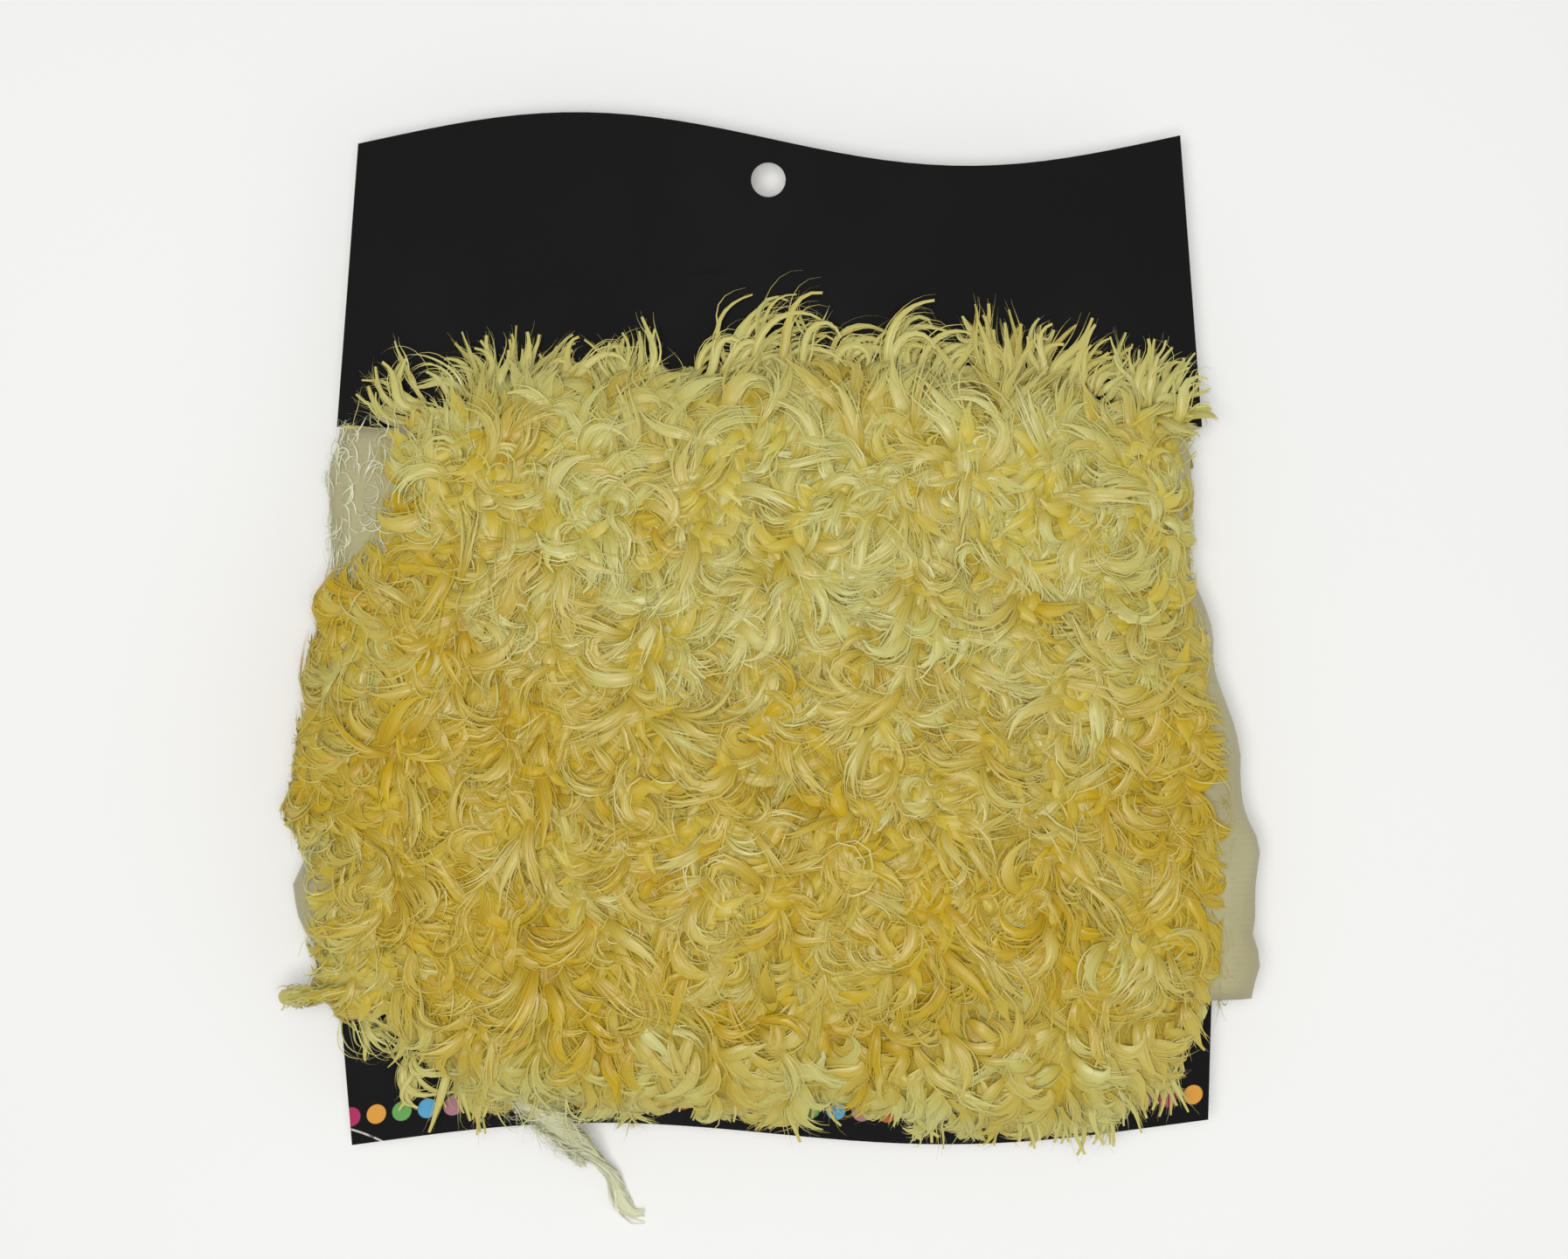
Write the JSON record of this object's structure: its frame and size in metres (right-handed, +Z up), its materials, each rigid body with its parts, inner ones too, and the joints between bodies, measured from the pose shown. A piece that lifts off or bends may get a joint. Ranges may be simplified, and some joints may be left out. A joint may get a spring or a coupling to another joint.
{
  "type": "faux fur trim wound on a card",
  "caption": "Strip of curly long-pile faux fur trim wound flat round a notched stiff card with a wavy header and a hang hole, with a loose frayed end.",
  "frame": {"origin": "in the flat underside of the wound strip, below the middle of its width and the card's centreline", "axes": "+Z up out of the fur's face, +Y along the card from the fur to the header with the hang hole, +X to the right across the face"},
  "size_m": [0.1756, 0.1984, 0.0368],
  "materials": {
    "fur": "yellow curly acrylic pile on a cream knitted backing",
    "frayed_cloth": "matted pale fibres",
    "card": "satin black print on white board"
  },
  "bodies": {
    "root": {"fur_trim": "fur", "frayed_end": "frayed_cloth", "card": "card"}
  },
  "joints": []
}
